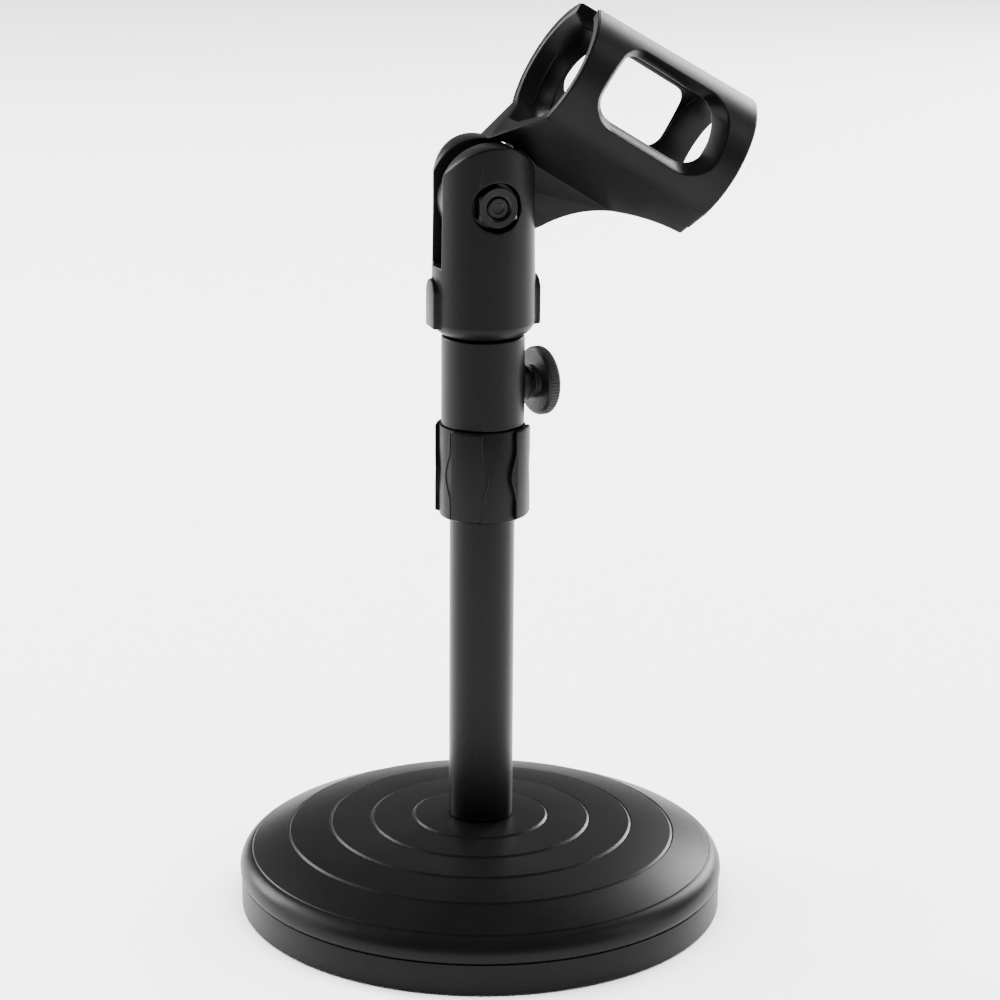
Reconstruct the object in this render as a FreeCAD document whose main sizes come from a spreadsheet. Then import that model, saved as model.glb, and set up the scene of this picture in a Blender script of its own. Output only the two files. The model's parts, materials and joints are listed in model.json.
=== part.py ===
"""Desktop microphone stand: weighted round base, height post with a twist clutch and a thumb screw,
and a tilting spring clip for a hand microphone.

Millimetres. +Z is up and the origin is the middle of the underside, where the stand rests.
The clip swings in the XZ plane and points to +X at rest.
"""
import FreeCAD, Part
import math
import os
import re

import Sketcher

V = FreeCAD.Vector

# Driving sizes, one spreadsheet row each.
SIZES = {
    # base
    "base_radius": 65.0,          # to the widest part of the shoulder
    "rim_inset": 0.4,             # how far the rim's foot stands in from that
    "rim_bottom": 0.3,            # the rim hangs just clear of the table
    "rim_draft": 0.4,             # how far the rim's top stands in
    "rim_height": 8.6,            # crease between rim and shoulder
    "crease_depth": 0.5,
    "shoulder_inset": 3.3,        # rim foot to the edge of the dome
    "shoulder_rise": 6.7,         # crease to the edge of the dome
    "shoulder_round": 5.2,
    "dome_edge_inset": 10.1,      # dome edge to the outermost step
    "step_pitch": 11.25,          # one step to the next, inwards
    "step_drop": 0.35,            # height of one step
    "dome_height": 24.4,          # top of the dome
    "dome_fall_1": 0.7,           # the dome's fall at each step, from the inside out
    "dome_fall_2": 1.5,
    "dome_fall_3": 2.5,
    "dome_fall_4": 4.8,
    "cover_wall": 2.4,
    "foot_pad_inset": 4.5,
    "foot_pad_thickness": 2.0,
    "plate_thickness": 1.5,
    "plate_gap": 0.3,             # plate edge to the cover's inside wall
    "weight_gap": 3.0,            # weight edge to the cover's inside wall
    "weight_thickness": 10.4,
    "weight_boss_radius": 16.0,
    "access_radius": 13.0,        # socket wrench hole in the plate and the weight
    "access_depth": 8.5,
    # base screws and tube bolt
    "plate_screw_count": 4,
    "plate_screw_circle": 45.0,   # radius that the screws stand on
    "plate_screw_radius": 1.5,
    "plate_screw_head": 2.9,
    "plate_screw_length": 9.0,
    "tube_bolt_radius": 5.0,
    "tube_bolt_flats": 16.0,
    "tube_bolt_head": 6.0,
    "tube_bolt_reach": 9.0,       # thread inside the foot plug
    "bolt_clearance": 0.3,
    "bolt_washer_radius": 10.5,
    "bolt_washer_thickness": 2.0,
    "plug_length": 10.0,
    # lower tube, clutch and collar
    "tube_radius": 8.55,
    "tube_wall": 1.2,
    "tube_length": 106.6,
    "clutch_radius": 10.85,
    "clutch_length": 23.5,        # what shows above the collar
    "clutch_overlap": 17.0,       # clutch spigot over the tube
    "clutch_shoulder_rise": 1.9,  # tube end to the clutch shoulder
    "spigot_radius": 9.95,
    "collet_length": 2.6,
    "collet_slit": 1.6,
    "collet_gap": 0.35,           # collet to the collar's cavity
    "slip_washer_thickness": 0.6,
    "collar_length": 24.5,
    "collar_radius": 11.25,       # floor of the recesses
    "petal_radius": 12.25,
    "petal_count": 4,
    "petal_turn": 6.4,            # angle of the first recess
    "recess_half_width": 4.9,     # at the ends
    "recess_waist": 3.3,          # at half height
    "recess_end": 4.2,            # straight part at each end
    "recess_round": 12.0,
    "collar_lip": 2.4,
    "collar_chamfer": 0.9,
    # thumb screw
    "screw_angle": 12.0,          # about the mast, from +X
    "screw_rise": 9.4,            # above the clutch shoulder
    "screw_radius": 2.5,
    "screw_boss_radius": 4.9,
    "screw_boss_reach": 12.3,     # from the mast axis
    "insert_radius": 3.9,
    "insert_start": 7.9,
    "tip_radius": 2.3,
    "tip_length": 1.9,
    "knob_reach": 15.0,           # mast axis to the knob's inner face
    "knob_radius": 8.9,
    "knob_thickness": 3.6,
    "knob_hub_radius": 4.4,
    "knob_hub_length": 1.6,
    "knob_bevel": 0.8,
    # post
    "post_radius": 7.0,
    "post_wall": 1.2,
    "post_rest_gap": 0.6,         # foot plug to the bush when the post is down
    "bush_gap": 0.07,             # bush in the lower tube
    "bush_collar": 3.0,
    "bush_spigot": 6.0,
    "stud_spigot": 12.0,
    "stud_flange_radius": 9.6,
    "stud_flange_thickness": 1.4,
    "stud_thread_radius": 7.9,
    "stud_thread_length": 11.8,
    # clip base
    "fork_foot_gap": 0.6,         # clutch top to the clip base
    "fork_foot_radius": 10.8,
    "fork_low_radius": 13.45,
    "fork_top_radius": 13.05,
    "fork_foot_height": 4.2,
    "fork_foot_round": 4.6,
    "socket_radius": 9.9,
    "socket_depth": 14.0,
    "pivot_rise": 34.5,           # foot of the clip base to the pivot
    "arch_rise": 2.0,             # pivot to the centre of the ears' round top
    "arch_radius": 13.3,
    "slot_width": 8.0,
    "slot_depth": 16.4,           # below the pivot
    "nut_recess_radius": 6.3,
    "nut_recess_floor": 8.2,      # from the middle plane
    "grip_half_width": 3.8,
    "grip_stand": 1.0,
    "grip_bottom": 2.0,           # above the foot
    "grip_top": 14.8,
    # pivot bolt and nut
    "pivot_bolt_radius": 3.0,
    "pivot_bolt_end": 13.0,       # from the middle plane
    "pivot_flats": 10.0,
    "pivot_head_height": 4.0,
    "pivot_washer_radius": 5.9,
    "pivot_washer_thickness": 0.8,
    # clip
    "clip_lean": 31.4,            # degrees from upright at rest
    "clip_length": 49.9,
    "clip_rear_set": 1.5,         # rear face behind the pivot
    "ring_rise": 37.9,            # pivot to the ring's centre line
    "ring_radius": 19.3,          # at the rear face
    "ring_flare": 1.0,            # how much wider the ring is at its front face
    "rim_bevel": 0.4,
    "rim_wall": 2.7,              # wall left at the rear face
    "heel_reach": 9.4,            # how far the flanks run back past the pivot
    "lead_in_floor": 21.2,        # pivot to the lowest point of the rear opening
    "lead_in_length": 4.0,
    "lead_in_draft": 27.0,        # degrees
    "flank_start": 0.643,         # drop of the flanks' upper edge as a part of the ring's radius
    "bore_radius": 14.4,
    "bore_lift": 0.5,             # bore centre above the ring's centre
    "bore_relief": 0.3,           # extra radius of the bore between its two lands
    "bore_land": 8.8,             # length of the bore's land at each end
    "mouth_width": 13.4,
    "tongue_thickness": 7.4,
    "tongue_radius": 11.5,
    "crease_rise": 13.9,          # pivot to the foot of the two flanks
    "arch_start_reach": 15.9,     # lower edge of the web, from the pivot
    "arch_start_rise": 1.5,
    "arch_mid_reach": 28.2,
    "arch_mid_rise": 12.8,
    "arch_end_rise": 18.0,
    "arch_rear_round": 33.2,
    "arch_front_round": 49.0,
    "window_setback": 6.8,        # rear face to the window
    "window_length": 36.7,
    "window_drop": 8.3,           # below the ring's centre
    "window_rim": 1.9,            # window top below the ring's crown
    "window_round": 8.6,
    "window_draft": 27.0,         # degrees that the window's edges lean in
    # fits
    "running_clearance": 0.05,
    "turning_gap": 0.3,           # between faces that turn past each other
}

# Places that follow from the sizes, in the same document.
PLACES = {
    "dome_edge_radius": "base_radius - shoulder_inset",
    "dome_edge_height": "rim_height + shoulder_rise",
    "step_4": "base_radius - shoulder_inset - dome_edge_inset",
    "step_3": "base_radius - shoulder_inset - dome_edge_inset - step_pitch",
    "step_2": "base_radius - shoulder_inset - dome_edge_inset - 2 * step_pitch",
    "step_1": "base_radius - shoulder_inset - dome_edge_inset - 3 * step_pitch",
    "cover_inner_radius": "base_radius - rim_draft - cover_wall",
    "plate_bottom": "foot_pad_thickness",
    "plate_top": "foot_pad_thickness + plate_thickness",
    "weight_radius": "base_radius - rim_draft - cover_wall - weight_gap",
    "weight_top": "foot_pad_thickness + plate_thickness + weight_thickness",
    "weight_boss_top": "dome_height - cover_wall",
    "washer_bottom": "foot_pad_thickness + plate_thickness + access_depth - bolt_washer_thickness",
    "bolt_end": "dome_height + tube_bolt_reach",
    "tube_top": "dome_height + tube_length",
    "tube_bore": "tube_radius - tube_wall",
    "spigot_bottom": "dome_height + tube_length - clutch_overlap",
    "shoulder": "dome_height + tube_length + clutch_shoulder_rise",
    "clutch_top": "dome_height + tube_length + clutch_shoulder_rise + clutch_length",
    "collar_top": "dome_height + tube_length + clutch_shoulder_rise - turning_gap",
    "collar_bottom": "dome_height + tube_length + clutch_shoulder_rise - turning_gap - collar_length",
    "collar_bore": "spigot_radius + running_clearance",
    "collet_bottom": "dome_height + tube_length - clutch_overlap - collet_length",
    "screw_height": "dome_height + tube_length + clutch_shoulder_rise + screw_rise",
    "screw_hole": "screw_radius + running_clearance",
    "post_bore": "post_radius - post_wall",
    "post_top": "dome_height + tube_length + clutch_shoulder_rise + clutch_length + turning_gap",
    "post_bottom": "dome_height + plug_length + post_rest_gap + bush_collar",
    "ear_room_radius": "arch_rise + arch_radius + 0.4",
    "fork_foot": "dome_height + tube_length + clutch_shoulder_rise + clutch_length + fork_foot_gap",
}


def build_sheet(doc, name, cells):
    """A spreadsheet whose cells are written as text and named by an alias."""
    sheet = doc.addObject("Spreadsheet::Sheet", name)
    for row, (alias, content) in enumerate(cells.items(), start=1):
        sheet.set(f"A{row}", alias)
        sheet.set(f"B{row}", content)
        sheet.setAlias(f"B{row}", alias)
    return sheet


def bound(text):
    """Write an expression of plain aliases as FreeCAD needs it, with the sheet's name before each."""
    def owner(match):
        word = match.group(0)
        if word in SIZES:
            return "sizes." + word
        if word in PLACES:
            return "places." + word
        return word
    return re.sub(r"[a-z][a-z_0-9]*", owner, text)


doc = FreeCAD.newDocument("desktop_microphone_stand")
sizes = build_sheet(doc, "sizes", {alias: str(value) for alias, value in SIZES.items()})
places = build_sheet(doc, "places", {alias: "=" + bound(text) for alias, text in PLACES.items()})
doc.recompute()


def number(text):
    """The present value of an expression."""
    return float(sizes.evalExpression(bound(text)))


# Helpers for bodies, sketches and features

pieces = []                       # every finished sub-part, in build order


def finish(piece, label):
    """Give a finished sub-part its own label and list it for writing."""
    piece.Label = label
    pieces.append(piece)
    return piece


def new_body(label):
    """A listed PartDesign body; its label is the name of its file."""
    return finish(doc.addObject("PartDesign::Body", label + "_body"), label)


def origin_feature(body, role):
    """One of the body's own origin planes or axes."""
    return next(item for item in body.Origin.OriginFeatures if item.Role == role)


def new_sketch(body, plane, name, offset=None):
    """A sketch flat on one of the body's origin planes, moved along its normal by an expression."""
    sketch = body.newObject("Sketcher::SketchObject", name)
    sketch.AttachmentSupport = (origin_feature(body, plane), [""])
    sketch.MapMode = "FlatFace"
    if offset:
        sketch.setExpression(".AttachmentOffset.Base.z", bound(offset))
    return sketch


def constrain(sketch, constraint, text):
    """Add a constraint whose value follows an expression."""
    index = sketch.addConstraint(constraint)
    sketch.setExpression(f"Constraints[{index}]", bound(text))


def pin_point(sketch, geometry, end, x_text, y_text):
    """Hold a point at two expressions, measured from the sketch's origin."""
    if x_text == "0":
        sketch.addConstraint(Sketcher.Constraint("PointOnObject", geometry, end, -2))
    else:
        constrain(sketch, Sketcher.Constraint("DistanceX", -1, 1, geometry, end, number(x_text)), x_text)
    if y_text == "0":
        sketch.addConstraint(Sketcher.Constraint("PointOnObject", geometry, end, -1))
    else:
        constrain(sketch, Sketcher.Constraint("DistanceY", -1, 1, geometry, end, number(y_text)), y_text)


def arc_between(start, end, radius, turn):
    """The short arc from start to end; turn is 1 anticlockwise and -1 clockwise."""
    chord = end - start
    middle = (start + end) * 0.5
    left = V(-chord.y, chord.x, 0).normalize()
    rise = math.sqrt(max(radius ** 2 - (chord.Length / 2) ** 2, 0.0))
    centre = middle + left * (rise * turn)
    first, last = (start, end) if turn > 0 else (end, start)
    angle_1 = math.atan2(first.y - centre.y, first.x - centre.x)
    angle_2 = math.atan2(last.y - centre.y, last.x - centre.x)
    if angle_2 <= angle_1:
        angle_2 += 2 * math.pi
    return Part.ArcOfCircle(Part.Circle(centre, V(0, 0, 1), radius), angle_1, angle_2)


def draw_outline(sketch, items):
    """A closed outline. Each item is the end of one edge: (x, y), or (x, y, radius, turn) for an arc."""
    points = [V(number(item[0]), number(item[1]), 0) for item in items]
    tails, heads = [], []
    for index, item in enumerate(items):
        start, end = points[index - 1], points[index]
        if len(item) == 2:
            edge = sketch.addGeometry(Part.LineSegment(start, end))
            tails.append((edge, 1))
            heads.append((edge, 2))
        else:
            edge = sketch.addGeometry(arc_between(start, end, number(item[2]), item[3]))
            tails.append((edge, 1 if item[3] > 0 else 2))
            heads.append((edge, 2 if item[3] > 0 else 1))
    for index, item in enumerate(items):
        joined = tails[(index + 1) % len(items)]
        sketch.addConstraint(Sketcher.Constraint("Coincident", *heads[index], *joined))
        pin_point(sketch, *heads[index], item[0], item[1])
    for index, item in enumerate(items):
        if len(item) == 4:
            constrain(sketch, Sketcher.Constraint("Radius", heads[index][0], number(item[2])), item[2])


def draw_circle(sketch, x_text, y_text, radius_text):
    """A circle held at two expressions."""
    centre = V(number(x_text), number(y_text), 0)
    circle = sketch.addGeometry(Part.Circle(centre, V(0, 0, 1), number(radius_text)))
    pin_point(sketch, circle, 3, x_text, y_text)
    constrain(sketch, Sketcher.Constraint("Radius", circle, number(radius_text)), radius_text)


def rectangle(left, right, bottom, top):
    """The items of an upright rectangle."""
    return [(left, bottom), (right, bottom), (right, top), (left, top)]


def spin(body, name, items, kind="Revolution", shift=None):
    """Turn a profile of radius and height about the body's Z axis, or one parallel to it."""
    sketch = new_sketch(body, "XZ_Plane", name + "_profile")
    if shift:
        sketch.setExpression(".AttachmentOffset.Base.x", bound(shift))
    draw_outline(sketch, items)
    feature = body.newObject("PartDesign::" + kind, name)
    feature.Profile = sketch
    feature.ReferenceAxis = (sketch, ["V_Axis"])
    feature.Angle = 360
    return feature


def extrude(body, name, sketch, length=None, kind="Pad", symmetric=False, backwards=False):
    """Pad or pocket a sketch by an expression, or right through when no length is given."""
    feature = body.newObject("PartDesign::" + kind, name)
    feature.Profile = sketch
    feature.SideType = "Symmetric" if symmetric else "One side"
    feature.Reversed = backwards
    if length:
        feature.setExpression("Length", bound(length))
    else:
        feature.Type = "ThroughAll"
    return feature


def repeat_round(body, name, feature, count):
    """Repeat a feature evenly about the body's Z axis."""
    pattern = body.newObject("PartDesign::PolarPattern", name)
    pattern.Originals = [feature]
    pattern.Axis = (origin_feature(body, "Z_Axis"), [""])
    pattern.Angle = 360
    pattern.setExpression("Occurrences", bound(count))
    body.Tip = pattern
    return pattern


def turned(label, items):
    """A sub-part that is one turned profile."""
    body = new_body(label)
    spin(body, label + "_turning", items)
    return body


# Weighted base

def countersunk_screw(clearance):
    """Profile of one countersunk screw, head down, opened by a clearance."""
    head = f"plate_screw_head + {clearance}"
    shank = f"plate_screw_radius + {clearance}"
    neck = "plate_bottom + plate_screw_head - plate_screw_radius"
    end = f"plate_bottom + plate_screw_length + {clearance}"
    return [("0", "plate_bottom"), (head, "plate_bottom"), (shank, neck), (shank, end), ("0", end)]


def cut_screw_seats(body, clearance):
    """Cut the ring of countersunk screws out of a body."""
    seat = spin(body, body.Name + "_screw_seat", countersunk_screw(clearance), "Groove",
                "plate_screw_circle")
    repeat_round(body, body.Name + "_screw_seats", seat, "plate_screw_count")


def build_cover():
    """Moulded cover: upright rim, rolled shoulder and a stepped dome with the tube's hole."""
    hole = "tube_bolt_radius + bolt_clearance"
    outside = [
        ("base_radius - rim_inset", "rim_bottom"),
        ("base_radius - rim_draft", "rim_height"),
        ("base_radius - rim_draft - crease_depth", "rim_height"),
        ("base_radius - crease_depth / 2", "rim_height + crease_depth"),
        ("dome_edge_radius", "dome_edge_height", "shoulder_round", 1),
        ("dome_edge_radius - step_drop", "dome_edge_height + step_drop"),
    ]
    for place in (4, 3, 2, 1):
        height = f"dome_height - dome_fall_{place}"
        outside.append((f"step_{place}", height))
        outside.append((f"step_{place} - step_drop", f"{height} + step_drop"))
    inside = [
        (hole, "dome_height"),
        (hole, "dome_height - cover_wall"),
        ("weight_boss_radius + 1", "dome_height - cover_wall"),
        ("step_2", "dome_height - dome_fall_2 - cover_wall"),
        ("step_4", "dome_height - dome_fall_4 - cover_wall"),
        ("cover_inner_radius", "rim_height"),
        ("cover_inner_radius", "rim_bottom"),
    ]
    return turned("base_cover", outside + inside)


def build_weight():
    """Cast weight with a boss under the tube and a pocket for the tube bolt's head."""
    hole = "tube_bolt_radius + bolt_clearance"
    body = turned("base_weight", [
        ("access_radius", "plate_top"), ("weight_radius", "plate_top"),
        ("weight_radius", "rim_height - weight_gap / 2"), ("step_4 - weight_gap", "weight_top"),
        ("weight_boss_radius", "weight_top"), ("weight_boss_radius - 1", "weight_boss_top"),
        (hole, "weight_boss_top"), (hole, "plate_top + access_depth"),
        ("access_radius", "plate_top + access_depth"),
    ])
    cut_screw_seats(body, "0.0")
    return body


def build_plate():
    """Steel bottom plate with a wrench hole and countersunk screw seats."""
    body = turned("base_plate", rectangle("access_radius", "cover_inner_radius - plate_gap",
                                          "plate_bottom", "plate_top"))
    cut_screw_seats(body, "0.05")
    return body


def build_plate_screws():
    """The ring of screws that holds the plate to the weight, one node of separate solids."""
    body = new_body("base_plate_screws")
    screw = spin(body, "plate_screw", countersunk_screw("0.0"), shift="plate_screw_circle")
    repeat_round(body, "plate_screws", screw, "plate_screw_count")
    return body


def hexagon(label, flats, height, middle):
    """A hexagonal prism standing on the XY plane of its placement."""
    prism = doc.addObject("Part::Prism", label)
    prism.Polygon = 6
    prism.setExpression("Circumradius", bound(f"{flats} / sqrt(3)"))
    prism.setExpression("Height", bound(height))
    prism.Placement = middle
    return prism


def cylinder(label, radius, height, middle):
    """A cylinder standing on the XY plane of its placement."""
    piece = doc.addObject("Part::Cylinder", label)
    piece.setExpression("Radius", bound(radius))
    piece.setExpression("Height", bound(height))
    piece.Placement = middle
    return piece


def joined_pair(label, kind, base, tool):
    """A listed Part boolean of two objects."""
    piece = doc.addObject("Part::" + kind, label + "_solid")
    piece.Base = base
    piece.Tool = tool
    return finish(piece, label)


def upright(height):
    """Placement on the mast axis at a height."""
    return FreeCAD.Placement(V(0, 0, number(height)), FreeCAD.Rotation())


def build_tube_bolt():
    """Hex bolt up through the weight and the cover into the tube's foot plug, and its washer."""
    head_bottom = "washer_bottom - tube_bolt_head"
    head = hexagon("tube_bolt_head_prism", "tube_bolt_flats", "tube_bolt_head", upright(head_bottom))
    shank = cylinder("tube_bolt_shank", "tube_bolt_radius", "bolt_end - washer_bottom",
                     upright("washer_bottom"))
    joined_pair("tube_bolt", "Fuse", head, shank)
    turned("tube_bolt_washer", rectangle("tube_bolt_radius + bolt_clearance", "bolt_washer_radius",
                                         "washer_bottom", "washer_bottom + bolt_washer_thickness"))


def build_base():
    """Everything that the mast stands on."""
    turned("base_foot_pad", rectangle("0", "base_radius - foot_pad_inset", "0", "foot_pad_thickness"))
    build_plate()
    build_plate_screws()
    build_weight()
    build_cover()
    build_tube_bolt()
    plug_top = "dome_height + plug_length"
    turned("tube_foot_plug", rectangle("tube_bolt_radius", "tube_bore", "dome_height", plug_top))
    turned("lower_tube", rectangle("tube_bore", "tube_radius", "dome_height", "tube_top"))


# Clutch, collar and thumb screw

def build_clutch_body():
    """Moulded sleeve on the tube's end, turned so that its screw boss lies along its own X axis."""
    body = new_body("clutch_body")
    spin(body, "clutch_outside", [
        ("0", "spigot_bottom"), ("spigot_radius", "spigot_bottom"), ("spigot_radius", "shoulder"),
        ("clutch_radius", "shoulder"), ("clutch_radius", "clutch_top - 0.4"),
        ("clutch_radius - 0.4", "clutch_top"), ("0", "clutch_top"),
    ])
    boss = new_sketch(body, "YZ_Plane", "screw_boss_outline")
    draw_circle(boss, "0", "screw_height", "screw_boss_radius")
    extrude(body, "screw_boss", boss, "screw_boss_reach")
    spin(body, "clutch_bores", [
        ("0", "spigot_bottom"), ("tube_radius", "spigot_bottom"), ("tube_radius", "tube_top"),
        ("post_radius + running_clearance", "tube_top"),
        ("post_radius + running_clearance", "clutch_top"), ("0", "clutch_top"),
    ], "Groove")
    hole = new_sketch(body, "YZ_Plane", "screw_hole_outline")
    draw_circle(hole, "0", "screw_height", "screw_hole")
    extrude(body, "screw_hole_cut", hole, "screw_boss_reach", "Pocket", backwards=True)
    seat = new_sketch(body, "YZ_Plane", "insert_seat_outline", "insert_start")
    draw_circle(seat, "0", "screw_height", "insert_radius")
    extrude(body, "insert_seat", seat, "screw_boss_reach", "Pocket", backwards=True)
    body.setExpression(".Placement.Rotation.Angle", bound("screw_angle"))
    return body


def build_collet():
    """Split ring that the collar squeezes onto the lower tube, and the slip washer under it."""
    outside = "collar_bore - collet_gap"
    body = turned("clutch_collet", rectangle("tube_radius", outside, "collet_bottom", "spigot_bottom"))
    slit = new_sketch(body, "YZ_Plane", "collet_slit_outline")
    draw_outline(slit, rectangle("0 - collet_slit / 2", "collet_slit / 2", "collet_bottom - 1",
                                 "spigot_bottom + 1"))
    extrude(body, "collet_slit_cut", slit, "spigot_radius + 1", "Pocket", backwards=True)
    turned("clutch_slip_washer", rectangle("tube_radius", outside,
                                           "collet_bottom - slip_washer_thickness", "collet_bottom"))


def build_collar():
    """Twist collar: a turned ring whose recesses leave four raised petals."""
    core = doc.addObject("PartDesign::Body", "collar_core")
    lip_bore = "tube_radius + running_clearance"
    spin(core, "collar_turning", [
        (lip_bore, "collar_bottom"), ("petal_radius - 2 * collar_chamfer", "collar_bottom"),
        ("petal_radius", "collar_bottom + collar_chamfer"), ("petal_radius", "collar_top - 0.3"),
        ("petal_radius - 0.3", "collar_top"), ("collar_bore", "collar_top"),
        ("collar_bore", "collar_bottom + collar_lip"), (lip_bore, "collar_bottom + collar_lip"),
    ])
    cutter = doc.addObject("PartDesign::Body", "collar_recess_cutter")
    low = "collar_bottom - 1"
    high = "collar_top + 1"
    waist_height = "(collar_bottom + collar_top) / 2"
    low_turn = "collar_bottom + recess_end"
    high_turn = "collar_top - recess_end"
    outline = new_sketch(cutter, "YZ_Plane", "recess_outline")
    draw_outline(outline, [
        ("0 - recess_half_width", low), ("recess_half_width", low), ("recess_half_width", low_turn),
        ("recess_waist", waist_height), ("recess_half_width", high_turn), ("recess_half_width", high),
        ("0 - recess_half_width", high), ("0 - recess_half_width", high_turn),
        ("0 - recess_waist", waist_height), ("0 - recess_half_width", low_turn),
    ])
    block = extrude(cutter, "recess_block", outline, "petal_radius + 2")
    repeat_round(cutter, "recess_blocks", block, "petal_count")
    floor = new_sketch(cutter, "XY_Plane", "recess_floor_outline")
    draw_circle(floor, "0", "0", "collar_radius")
    extrude(cutter, "recess_floor", floor, None, "Pocket", symmetric=True)
    cutter.setExpression(".Placement.Rotation.Angle", bound("petal_turn"))
    joined_pair("twist_collar", "Cut", core, cutter)


def along_screw():
    """Placement whose Z axis runs out along the thumb screw from the mast axis."""
    turn = math.radians(number("screw_angle"))
    lean = FreeCAD.Rotation(V(-math.sin(turn), math.cos(turn), 0), 90)
    return FreeCAD.Placement(V(0, 0, number("screw_height")), lean)


def build_thumb_screw():
    """Knob, stud and soft tip on one axis, and the brass insert that the stud turns in."""
    insert = turned("clutch_insert", rectangle("screw_hole", "insert_radius", "insert_start",
                                               "screw_boss_reach"))
    tip_start = "post_radius + running_clearance"
    tip_end = "post_radius + running_clearance + tip_length"
    tip = turned("thumb_screw_tip", rectangle("0", "tip_radius", tip_start, tip_end))
    stud_end = "knob_reach + knob_thickness / 2"
    stud = turned("thumb_screw_stud", rectangle("0", "screw_radius", tip_end, stud_end))
    knob_top = "knob_reach + knob_thickness"
    hub_start = "knob_reach - knob_hub_length"
    knob = turned("thumb_screw_knob", [
        ("screw_radius", hub_start), ("knob_hub_radius", hub_start), ("knob_hub_radius", "knob_reach"),
        ("knob_radius - knob_bevel", "knob_reach"), ("knob_radius", "knob_reach + knob_bevel"),
        ("knob_radius", "knob_reach + knob_thickness - knob_bevel"),
        ("knob_radius - knob_bevel", knob_top), ("0", knob_top), ("0", stud_end),
        ("screw_radius", stud_end),
    ])
    for piece in (insert, tip, stud, knob):
        piece.Placement = along_screw()


# Sliding post

def build_post():
    """Inner tube with its guide bush below and its threaded stud above."""
    turned("inner_tube", rectangle("post_bore", "post_radius", "post_bottom", "post_top"))
    turned("inner_tube_bush", [
        ("0", "post_bottom - bush_collar"), ("tube_bore - bush_gap", "post_bottom - bush_collar"),
        ("tube_bore - bush_gap", "post_bottom"), ("post_bore", "post_bottom"),
        ("post_bore", "post_bottom + bush_spigot"), ("0", "post_bottom + bush_spigot"),
    ])
    flange_top = "post_top + stud_flange_thickness"
    stud_top = "post_top + stud_flange_thickness + stud_thread_length"
    turned("thread_stud", [
        ("0", "post_top - stud_spigot"), ("post_bore", "post_top - stud_spigot"),
        ("post_bore", "post_top"), ("stud_flange_radius", "post_top"), ("stud_flange_radius", flange_top),
        ("stud_thread_radius", flange_top), ("stud_thread_radius", stud_top), ("0", stud_top),
    ])


# Clip base

def pocket_ear(body, name, side):
    """Round recess in one ear for the bolt's head or its nut; side is -1 in front and 1 behind."""
    floor = "nut_recess_floor" if side < 0 else "0 - nut_recess_floor"
    recess = new_sketch(body, "XZ_Plane", name + "_outline", floor)
    draw_circle(recess, "0", "fork_foot + pivot_rise", "nut_recess_radius")
    extrude(body, name, recess, "fork_low_radius", "Pocket", backwards=side < 0)


def add_grip(body, name, backwards):
    """A raised thumb rest with a round top, low on one side of the clip base."""
    spring = "fork_foot + grip_top - grip_half_width"
    outline = new_sketch(body, "YZ_Plane", name + "_outline")
    draw_outline(outline, [
        ("0 - grip_half_width", "fork_foot + grip_bottom"), ("grip_half_width", "fork_foot + grip_bottom"),
        ("grip_half_width", spring), ("0", "fork_foot + grip_top", "grip_half_width", 1),
        ("0 - grip_half_width", spring, "grip_half_width", 1),
    ])
    extrude(body, name, outline, "fork_low_radius + grip_stand", backwards=backwards)


def build_fork():
    """Clip base: a round body with two ears, a slot for the clip's tongue and a threaded socket."""
    body = new_body("clip_base")
    top = "fork_foot + pivot_rise + arch_rise"
    crown = "fork_foot + pivot_rise + arch_rise + arch_radius"
    spin(body, "fork_turning", [
        ("0", "fork_foot"), ("fork_foot_radius", "fork_foot"),
        ("fork_low_radius", "fork_foot + fork_foot_height", "fork_foot_round", 1),
        ("fork_top_radius", "fork_foot + pivot_rise"), ("fork_top_radius", f"{crown} + 1"),
        ("0", f"{crown} + 1"),
    ])
    add_grip(body, "front_grip", False)
    add_grip(body, "rear_grip", True)
    arch = new_sketch(body, "XZ_Plane", "ear_arch_outline")
    draw_outline(arch, [
        ("arch_radius", top), ("0", crown, "arch_radius", 1), ("0 - arch_radius", top, "arch_radius", 1),
        ("0 - arch_radius - 4", top), ("0 - arch_radius - 4", f"{crown} + 3"),
        ("arch_radius + 4", f"{crown} + 3"), ("arch_radius + 4", top),
    ])
    extrude(body, "ear_arch", arch, None, "Pocket", symmetric=True)
    slot = new_sketch(body, "YZ_Plane", "tongue_slot_outline")
    draw_outline(slot, rectangle("0 - slot_width / 2", "slot_width / 2",
                                 "fork_foot + pivot_rise - slot_depth", f"{crown} + 2"))
    extrude(body, "tongue_slot", slot, None, "Pocket", symmetric=True)
    pocket_ear(body, "nut_recess", -1)
    pocket_ear(body, "head_recess", 1)
    bolt_hole = new_sketch(body, "XZ_Plane", "pivot_hole_outline")
    draw_circle(bolt_hole, "0", "fork_foot + pivot_rise", "pivot_bolt_radius")
    extrude(body, "pivot_hole", bolt_hole, None, "Pocket", symmetric=True)
    spin(body, "socket", rectangle("0", "socket_radius", "fork_foot", "fork_foot + socket_depth"),
         "Groove")
    turned("clip_base_insert", rectangle(
        "stud_thread_radius + running_clearance", "socket_radius",
        "post_top + stud_flange_thickness + turning_gap", "fork_foot + socket_depth"))
    return body


def along_pivot(reach, side):
    """Placement on the pivot axis, its Z axis pointing to -Y or +Y as side says."""
    turn = FreeCAD.Rotation(V(1, 0, 0), -90 * side)
    return FreeCAD.Placement(V(0, side * number(reach), number("fork_foot + pivot_rise")), turn)


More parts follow.
